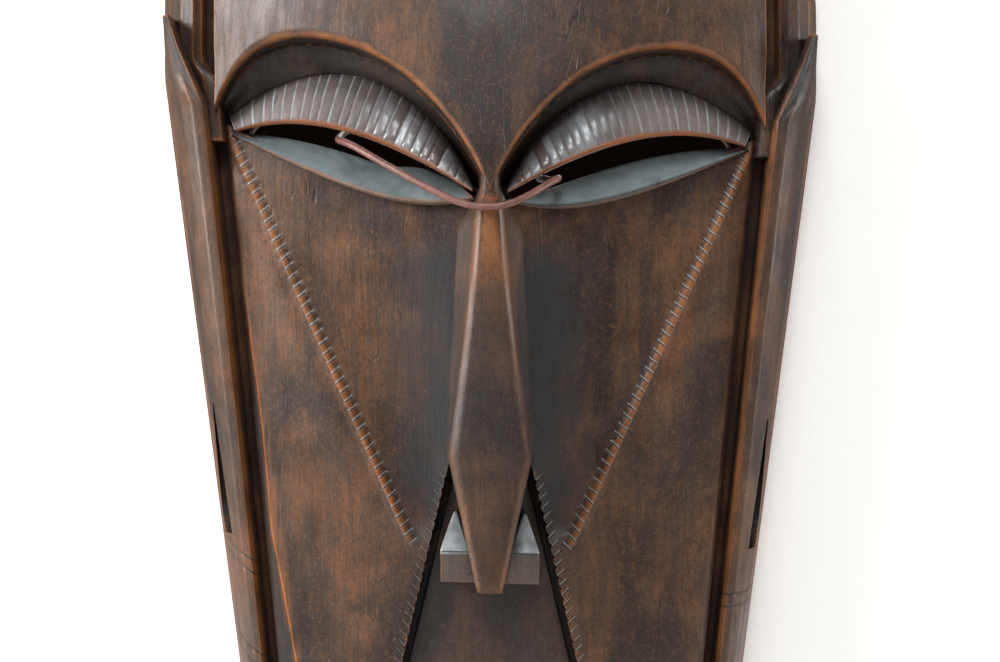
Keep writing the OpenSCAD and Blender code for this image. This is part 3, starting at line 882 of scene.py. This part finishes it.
def makeHollowCutter():
    low, high = -carving["chinDrop"] + 40, carving["crownHeight"] - 32
    rows = spans(low, (low + 40, 16), (high - 40, 70), (high, 16))
    across = mirrored(spans(0, (0.82, 22), (1, 8)))

    def ends(z):
        return math.sqrt(1 - abs(2 * (z - low) / (high - low) - 1) ** 5 * 0.6)

    def deep(i, j):
        z = rows[j]
        reach = (halfWidth(z) - hollowBack["sideWall"]) * ends(z)
        x = across[i] * reach
        thin = 6 * smooth(-15, 5, z) * (1 - smooth(60, 80, z))
        near = min(abs(x), 88)
        depth = (faceDepth(near, z) - cheekShape(near, z) - hollowBack["frontWall"] - thin) * ends(z)
        depth *= 1 - 0.55 * abs(across[i]) ** 5
        scoop = noise.voronoi(Vector((x / 11, 0, z / 24)))[0][0]
        return x, depth - hollowBack["scoopDepth"] * (scoop * 1.6 - 0.5), z

    return block("hollowCutter", len(across) - 1, len(rows) - 1, deep, flat(deep, -1), "backWood")


def tidyPaint(data):
    # points made where solids meet take their paint from their neighbours, convex edges get worn and concave
    # creases get painted shade
    mesh = bmesh.new()
    mesh.from_mesh(data)
    wear, paintedShade, paintedSheen, known = [mesh.verts.layers.float.get(n) for n in ("wear", "paintedShade", "paintedSheen", "known")]
    mesh.normal_update()
    for vert in mesh.verts:
        if vert[known] < 0.99:
            near = [e.other_vert(vert) for e in vert.link_edges]
            near = [v for v in near if v[known] > 0.99]
            for layer in (wear, paintedShade, paintedSheen):
                vert[layer] = sum(v[layer] for v in near) / len(near) if near else 0
    sharp = 0.35
    for vert in mesh.verts:
        turns = [e.calc_face_angle_signed(0.0) for e in vert.link_edges if len(e.link_faces) == 2]
        turn = max(turns, key=abs, default=0.0)
        if turn > sharp:
            rub = min(0.7, (turn - sharp) * 0.8) * smooth(0.3, 0.1, vert[paintedShade])
            vert[wear] = max(vert[wear], rub)
        # painted shade in concave creases
        elif turn < -sharp:
            vert[paintedShade] = max(vert[paintedShade], min(0.85, -(turn + sharp) * 1.2))
    mesh.to_mesh(data)
    mesh.free()


def makeCarving():
    wood = makeBackPlate()
    combine(wood, [makeFace(), makeForehead()], "UNION")
    print("block of wood:", len(wood.data.polygons), "faces")
    combine(wood, [makeSocketCutter(1), makeSocketCutter(-1), makeLipPanelCutter()], "DIFFERENCE")
    added = [makeHeaddress(), makeNose(), makeLip("upperLip", 8, 14), makeLip("lowerLip", -9, 12)]
    for side in (1, -1):
        added += [makeEarStrip(side), makeTempleBand(side), makeUpperLid(side), makeLowerLid(side),
                  makeNostrilBlock(side)]
    combine(wood, added, "UNION")
    print("with its carved parts:", len(wood.data.polygons), "faces")
    slots = [maker(side) for side in (1, -1) for maker in (makeSlitCutter, makeEarSlotCutter)]
    combine(wood, [makeHollowCutter()] + slots, "DIFFERENCE")
    tidyPaint(wood.data)
    data = wood.data
    data.shade_smooth()
    data.set_sharp_from_angle(angle=math.radians(40))
    wood.name = data.name = "carvedMask"
    print("carved mask:", sum(len(p.vertices) - 2 for p in data.polygons), "triangles")
    return wood


carvedMask = makeCarving()
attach(carvedMask, "carving")
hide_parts("mask")


class Nodes:
    def __init__(self, material):
        material.use_nodes = True
        self.tree = material.node_tree
        self.tree.nodes.clear()
        self.shader = self.add("ShaderNodeBsdfPrincipled")
        out = self.add("ShaderNodeOutputMaterial")
        self.tree.links.new(self.shader.outputs[0], out.inputs[0])
        self.place = self.add("ShaderNodeTexCoord").outputs["Object"]

    def add(self, kind, **settings):
        made = self.tree.nodes.new(kind)
        for name, value in settings.items():
            setattr(made, name, value)
        return made

    def put(self, socket, value):
        if isinstance(value, bpy.types.NodeSocket):
            self.tree.links.new(value, socket)
        else:
            socket.default_value = value

    def axis(self, number):
        made = self.add("ShaderNodeSeparateXYZ")
        self.put(made.inputs[0], self.place)
        return made.outputs[number]

    def stretched(self, scale):
        made = self.add("ShaderNodeMapping")
        self.put(made.inputs["Vector"], self.place)
        made.inputs["Scale"].default_value = scale
        return made.outputs[0]

    def noise(self, place, scale, detail=4.0, rough=0.55, distortion=0.0):
        made = self.add("ShaderNodeTexNoise")
        self.put(made.inputs["Vector"], place)
        settings = {"Scale": scale, "Detail": detail, "Roughness": rough, "Distortion": distortion}
        for name, value in settings.items():
            made.inputs[name].default_value = value
        return made.outputs["Fac"]

    def finish(self, settings):
        for name, value in settings.items():
            self.put(self.shader.inputs[name], value)

    def math(self, kind, a, b=0.0, c=0.0, limit=False):
        made = self.add("ShaderNodeMath", operation=kind, use_clamp=limit)
        for socket, value in zip(made.inputs, (a, b, c)):
            self.put(socket, value)
        return made.outputs[0]

    def times(self, a, b, limit=False):
        return self.math("MULTIPLY", a, b, limit=limit)

    def range(self, value, low, high, outLow=0.0, outHigh=1.0):
        made = self.add("ShaderNodeMapRange", interpolation_type="SMOOTHSTEP")
        for socket, each in zip(made.inputs, (value, low, high, outLow, outHigh)):
            self.put(socket, each)
        return made.outputs[0]

    def mix(self, factor, a, b, blend="MIX"):
        made = self.add("ShaderNodeMix", data_type="RGBA", blend_type=blend)
        self.put(made.inputs[0], factor)
        self.put(made.inputs[6], a)
        self.put(made.inputs[7], b)
        return made.outputs[2]

    def attribute(self, name):
        return self.add("ShaderNodeAttribute", attribute_name=name).outputs["Fac"]

    def bump(self, height, distance, strength=1.0, normal=None):
        made = self.add("ShaderNodeBump")
        made.inputs["Strength"].default_value = strength
        made.inputs["Distance"].default_value = distance
        self.put(made.inputs["Height"], height)
        if normal is not None:
            self.put(made.inputs["Normal"], normal)
        return made.outputs[0]


# in each look the fifth colour is painted sheen and highlight, and the sixth is painted shade, also used for
# cracks
woodLooks = {
    "waxedWood": {
        "dark": (0.015, 0.0082, 0.0054, 1), "mid": (0.058, 0.027, 0.0135, 1), "warm": (0.165, 0.064, 0.02, 1),
        "worn": (0.3, 0.096, 0.02, 1), "paintedSheen": (0.022, 0.027, 0.031, 1), "paintedShade": (0.004, 0.0035, 0.0035, 1),
        "rough": (0.34, 0.6), "coat": 0.12, "coatRough": 0.28, "specular": 0.34},
    # the upper lids' light greys are painted reflection on dark glossy paint, and the fifth colour is their
    # painted glint
    "lidWood": {
        "dark": (0.075, 0.06, 0.056, 1), "mid": (0.12, 0.1, 0.097, 1), "warm": (0.16, 0.11, 0.09, 1),
        "worn": (0.28, 0.085, 0.024, 1), "paintedSheen": (0.42, 0.45, 0.47, 1), "paintedShade": (0.006, 0.005, 0.005, 1),
        "rough": (0.22, 0.36), "coat": 0.5, "coatRough": 0.16, "specular": 0.5},
    # the lower lids' grey is partly their grey stain and partly painted reflection
    "greyStainSheenWood": {
        "dark": (0.06, 0.07, 0.071, 1), "mid": (0.09, 0.107, 0.108, 1), "warm": (0.09, 0.09, 0.08, 1),
        "worn": (0.2, 0.08, 0.03, 1), "paintedSheen": (0.115, 0.14, 0.142, 1), "paintedShade": (0.01, 0.01, 0.01, 1),
        "rough": (0.5, 0.72), "coat": 0.0, "coatRough": 0.4, "specular": 0.4},
    "nostrilWood": {
        "dark": (0.018, 0.011, 0.008, 1), "mid": (0.05, 0.027, 0.016, 1), "warm": (0.1, 0.05, 0.022, 1),
        "worn": (0.2, 0.08, 0.03, 1), "paintedSheen": (0.24, 0.27, 0.28, 1), "paintedShade": (0.005, 0.004, 0.004, 1),
        "rough": (0.26, 0.45), "coat": 0.35, "coatRough": 0.2, "specular": 0.45},
    "backWood": {
        "dark": (0.03, 0.017, 0.01, 1), "mid": (0.085, 0.045, 0.024, 1), "warm": (0.15, 0.078, 0.038, 1),
        "worn": (0.25, 0.13, 0.06, 1), "paintedSheen": (0.09, 0.08, 0.07, 1), "paintedShade": (0.008, 0.006, 0.005, 1),
        "rough": (0.66, 0.85), "coat": 0.0, "coatRough": 0.4, "specular": 0.35},
}
# painted highlight along the knife strokes, and real dust specks
marks = {"strokeHighlight": (0.2, 0.215, 0.21, 1), "dust": (0.32, 0.3, 0.27, 1)}
# bands of knife strokes along the cheek ridges and along the edges of the mouth panel, where their painted
# highlights and painted shadows go
strokeBands = [
    {"lean": ridge["lean"], "start": ridge["atBrow"], "slant": ridge["slant"], "inner": -4.2, "outer": 1.3,
     "foot": -142, "top": 31, "left": 1.0, "right": 1.0},
    {"lean": -mouth["panelLean"], "start": lipEdge(0), "slant": -0.9, "inner": -0.4, "outer": 4.0,
     "foot": -262, "top": -108, "left": 0.25, "right": 0.9},
]


def knifeStrokeShading(n):
    # painted highlights along the strokes and their painted shadows, short, slanted and about 4 mm apart
    x = n.times(n.axis(0), 1000)
    side = n.math("ABSOLUTE", x)
    z = n.math("ADD", n.times(n.axis(2), 1000), carving["nailHeight"])
    z = n.math("ADD", z, n.times(x, carving["skew"]))
    onFace = n.range(n.axis(1), -0.034, -0.04)
    wobble = n.times(n.noise(n.place, 120, 2), 1.6)
    found = []
    for band in strokeBands:
        line = n.math("ADD", n.times(z, band["lean"]), band["start"])
        gap = n.math("SUBTRACT", side, line)
        along = n.math("ADD", n.times(z, 1.1), n.times(gap, band["slant"]))
        phase = n.math("DIVIDE", n.math("ADD", along, wobble), ridge["notchPitch"])
        area = n.times(n.range(gap, band["inner"], band["inner"] + 1.2),
                      n.range(gap, band["outer"], band["outer"] - 0.7))
        ends = n.times(n.range(z, band["foot"], band["foot"] + 5),
                      n.range(z, band["top"], band["top"] - 3))
        area = n.times(n.times(area, ends), onFace)
        area = n.times(area, n.range(x, -5, 5, band["left"], band["right"]))
        for shift, wide in ((0.0, 0.36), (0.13, 0.5)):
            near = n.math("FRACT", n.math("ADD", phase, shift))
            near = n.times(n.math("ABSOLUTE", n.math("SUBTRACT", near, 0.5)), ridge["notchPitch"])
            found.append(n.times(n.range(near, wide, wide * 0.3), area))
    return n.math("MAXIMUM", found[0], found[2]), n.math("MAXIMUM", found[1], found[3])


def finishWood(name):
    look = woodLooks[name]
    n = Nodes(woods[name])
    along = n.stretched((1, 1, 0.07))             # the grain runs up the block
    broad = n.noise(n.stretched((1, 1, 0.55)), 26, 6, 0.62, 0.6)
    streaks = n.noise(along, 330, 5, 0.6, 0.4)
    fine = n.noise(along, 1500, 3, 0.6)
    speckle = n.noise(n.place, 900, 3, 0.6)
    patches = n.noise(n.place, 60, 4, 0.6)
    mottle = n.noise(n.place, 430, 5, 0.65)
    base = n.mix(n.range(broad, 0.36, 0.6), look["dark"], look["mid"])
    warmth = n.times(n.range(broad, 0.42, 0.74), n.range(patches, 0.25, 0.7, 0.2, 0.9), limit=True)
    base = n.mix(warmth, base, look["warm"])
    base = n.mix(n.range(mottle, 0.52, 0.74, 0.0, 0.42), base, look["warm"])
    base = n.mix(n.range(mottle, 0.48, 0.28, 0.0, 0.6), base, look["dark"])
    base = n.mix(n.range(streaks, 0.42, 0.68, 0.0, 0.5), base, look["dark"])
    base = n.mix(n.range(fine, 0.52, 0.74, 0.0, 0.55), base, look["dark"])
    base = n.mix(n.range(speckle, 0.54, 0.74, 0.0, 0.5), base, look["warm"])
    base = n.mix(n.range(speckle, 0.46, 0.3, 0.0, 0.6), base, look["dark"])
    wear, paintedShade, paintedSheen = n.attribute("wear"), n.attribute("paintedShade"), n.attribute("paintedSheen")
    # the nostril blocks get painted highlight on their tops, above the shoulder
    if name == "nostrilWood":
        shoulder = (nostril["shoulder"] - carving["nailHeight"]) / 1000
        paintedSheen = n.range(n.axis(2), shoulder - 0.0004, shoulder + 0.0004)
    # painted blue-grey sheen, broken up by noise
    broken = n.range(n.noise(n.place, 130, 5, 0.65), 0.3, 0.62, 0.35, 1.0)
    paintedSheenHere = n.times(paintedSheen, broken, limit=True)
    base = n.mix(paintedSheenHere, base, look["paintedSheen"])
    rubbed = n.times(n.math("ADD", wear, n.range(streaks, 0.3, 0.7, -0.16, 0.16)),
                    n.range(patches, 0.25, 0.6, 0.45, 1.1), limit=True)
    rubbed = n.times(rubbed, n.range(wear, 0.02, 0.12), limit=True)
    base = n.mix(rubbed, base, look["worn"])
    # thin cracks that wander up the grain
    wander = n.noise(n.stretched((1, 1, 0.13)), 46, 3, 0.5, 0.5)
    crackHere = n.range(n.math("ABSOLUTE", n.math("SUBTRACT", wander, 0.5)), 0.0, 0.0035, 1.0, 0.0)
    cracked = n.range(n.noise(n.stretched((1, 1, 0.5)), 33, 2), 0.5, 0.6)
    crackHere = n.times(crackHere, cracked, limit=True)
    base = n.mix(n.times(crackHere, 0.6), base, look["paintedShade"])
    # painted shade in creases, cuts and recesses
    paintedShadeHere = n.times(paintedShade, n.range(patches, 0.2, 0.7, 1.1, 0.8), limit=True)
    base = n.mix(paintedShadeHere, base, look["paintedShade"])
    # painted highlights and painted shadows of the knife strokes
    strokes, shadows = knifeStrokeShading(n) if name == "waxedWood" else (0.0, 0.0)
    base = n.mix(n.times(shadows, 0.75), base, look["paintedShade"])
    base = n.mix(n.times(strokes, 0.8), base, marks["strokeHighlight"])
    dust = n.range(n.noise(n.place, 2600, 1, 0.5), 0.735, 0.78, 0.0, 0.4)
    base = n.mix(dust, base, marks["dust"])
    rough = n.math("ADD", n.times(streaks, 0.5), n.times(patches, 0.5))
    rough = n.range(rough, 0.35, 0.65, *look["rough"])
    rough = n.math("ADD", rough, n.times(paintedShade, 0.25), limit=True)
    coat = look["coat"]
    if name == "lidWood":
        # polished beside the nose, duller toward the temples
        away = n.math("ABSOLUTE", n.axis(0))
        rough = n.math("ADD", rough, n.range(away, 0.038, 0.062, 0.0, 0.32), limit=True)
        coat = n.range(away, 0.034, 0.056, coat, 0.0)
    height = n.math("ADD", n.times(fine, 0.5), n.times(streaks, 0.7))
    height = n.math("SUBTRACT", height, n.times(crackHere, 0.8))
    height = n.math("SUBTRACT", height, shadows)
    normal = n.bump(height, 0.00035, 0.7)
    normal = n.bump(speckle, 0.00012, 0.5, normal)
    n.finish({"Base Color": base, "Roughness": rough, "Specular IOR Level": look["specular"],
              "Coat Weight": coat, "Coat Roughness": look["coatRough"], "Normal": normal})


for each in finishes:
    finishWood(each)


wireLooks = {"sleeveDark": (0.10, 0.036, 0.026, 1), "sleeveLight": (0.155, 0.062, 0.045, 1),
             "scuff": (0.26, 0.14, 0.11, 1),
             "dullCopper": (0.5, 0.2, 0.1, 1), "brightCopper": (0.75, 0.36, 0.2, 1)}


def finishSleeve():
    material = bpy.data.materials.new("brownSleeve")
    n = Nodes(material)
    patches = n.noise(n.place, 240, 4, 0.6)
    scuffs = n.noise(n.place, 1800, 3, 0.6)
    base = n.mix(n.range(patches, 0.35, 0.65), wireLooks["sleeveDark"], wireLooks["sleeveLight"])
    base = n.mix(n.range(scuffs, 0.6, 0.75, 0.0, 0.5), base, wireLooks["scuff"])
    n.finish({"Base Color": base, "Roughness": n.range(scuffs, 0.3, 0.7, 0.34, 0.52),
              "Normal": n.bump(n.math("ADD", patches, scuffs), 0.0002, 0.5)})
    wireSleeve.data.materials.append(material)


def finishCore():
    material = bpy.data.materials.new("drawnCopper")
    n = Nodes(material)
    tarnish = n.noise(n.place, 700, 4, 0.6)
    base = n.mix(n.range(tarnish, 0.35, 0.65), wireLooks["dullCopper"], wireLooks["brightCopper"])
    n.finish({"Base Color": base, "Metallic": 1.0, "Roughness": n.range(tarnish, 0.3, 0.7, 0.28, 0.5),
              "Normal": n.bump(tarnish, 0.0001, 0.4)})
    wireCore.data.materials.append(material)


finishSleeve()
finishCore()
print("finishes made")

studio = {"wallColor": (0.84, 0.825, 0.8, 1), "wallGlow": 0.16, "floorZ": -0.52,
          "shadeColor": (0.02, 0.012, 0.008, 1), "worldColor": (0.95, 0.96, 1.0, 1), "worldStrength": 0.22}
# name, place and target in metres, size, power and color
lamps = [
    ("windowLight", (-1.35, -0.8, 0.55), (0, 0, -0.1), 0.7, 30, (0.97, 0.98, 1.0)),
    ("leftLight", (-1.5, -0.12, 0.05), (-0.1, 0, -0.1), 0.6, 18, (1.0, 0.97, 0.93)),
    ("topLight", (-0.05, -1.15, 0.7), (0, 0, -0.05), 0.4, 6, (0.93, 0.97, 1.0)),
    ("glintLight", (0.05, -0.72, 1.05), (0, 0, -0.05), 0.5, 8, (0.9, 0.96, 1.0)),
    ("sideLight", (1.5, -0.08, 0.1), (0.1, 0, -0.1), 0.8, 14, (1.0, 0.95, 0.9)),
    ("backLight", (0.4, 1.6, 0.9), (0, 0, -0.15), 1.2, 18, (1.0, 0.98, 0.95)),
]


def flatSheet(name, size, height):
    mesh = bmesh.new()
    bmesh.ops.create_grid(mesh, x_segments=1, y_segments=1, size=size)
    bmesh.ops.translate(mesh, verts=mesh.verts[:], vec=(0, 0, height))
    data = bpy.data.meshes.new(name)
    mesh.to_mesh(data)
    mesh.free()
    made = newObject(name, data)
    return made


def oneSided(name, color, glow):
    material = bpy.data.materials.new(name)
    n = Nodes(material)
    n.finish({"Base Color": color, "Roughness": 0.9, "Emission Color": color, "Emission Strength": glow,
              "Normal": n.bump(n.noise(n.place, 30, 5, 0.6), 0.002, 0.35)})
    # seen from behind it is clear
    clear = n.add("ShaderNodeBsdfTransparent")
    both = n.add("ShaderNodeMixShader")
    n.put(both.inputs[0], n.add("ShaderNodeNewGeometry").outputs["Backfacing"])
    n.put(both.inputs[1], n.shader.outputs[0])
    n.put(both.inputs[2], clear.outputs[0])
    output = [x for x in n.tree.nodes if x.type == "OUTPUT_MATERIAL"][0]
    n.put(output.inputs[0], both.outputs[0])
    return material


def makeStudio():
    floor = flatSheet("floor", 6, studio["floorZ"])
    paper = bpy.data.materials.new("palePaper")
    n = Nodes(paper)
    n.finish({"Base Color": studio["wallColor"], "Roughness": 0.8})
    floor.data.materials.append(paper)

    # the wall shows from the front only, so the hollow back can be looked at from behind
    wall = flatSheet("wall", 3, 0)
    wall.rotation_euler = (math.radians(90), 0, 0)
    wall.location = (0, 0.0015, 0)
    wall.data.materials.append(oneSided("palePlaster", studio["wallColor"], studio["wallGlow"]))
    # the unlit patch that lies behind the mask, seen through the slits
    shade = flatSheet("wallShade", 0.112, 0)
    shade.rotation_euler = (math.radians(90), 0, 0)
    shade.scale = (1, 0.5, 1)
    shade.location = (0, 0.001, -0.09)
    shade.data.materials.append(oneSided("shadedPlaster", studio["shadeColor"], 0.0))
    for sheet in (wall, shade):
        for ray in ("diffuse", "glossy", "shadow", "transmission"):
            setattr(sheet, "visible_" + ray, False)

    world = bpy.data.worlds.new("studioWorld")
    world.use_nodes = True
    sky = world.node_tree.nodes["Background"]
    sky.inputs["Color"].default_value = studio["worldColor"]
    sky.inputs["Strength"].default_value = studio["worldStrength"]
    scene.world = world

    for name, place, target, size, power, color in lamps:
        data = bpy.data.lights.new(name, "AREA")
        data.shape = "DISK"
        data.size = size
        data.energy = power
        data.color = color
        lamp = newObject(name, data)
        lamp.location = place
        lamp.rotation_euler = (Vector(target) - Vector(place)).to_track_quat("-Z", "Y").to_euler()


makeStudio()
print("studio made")
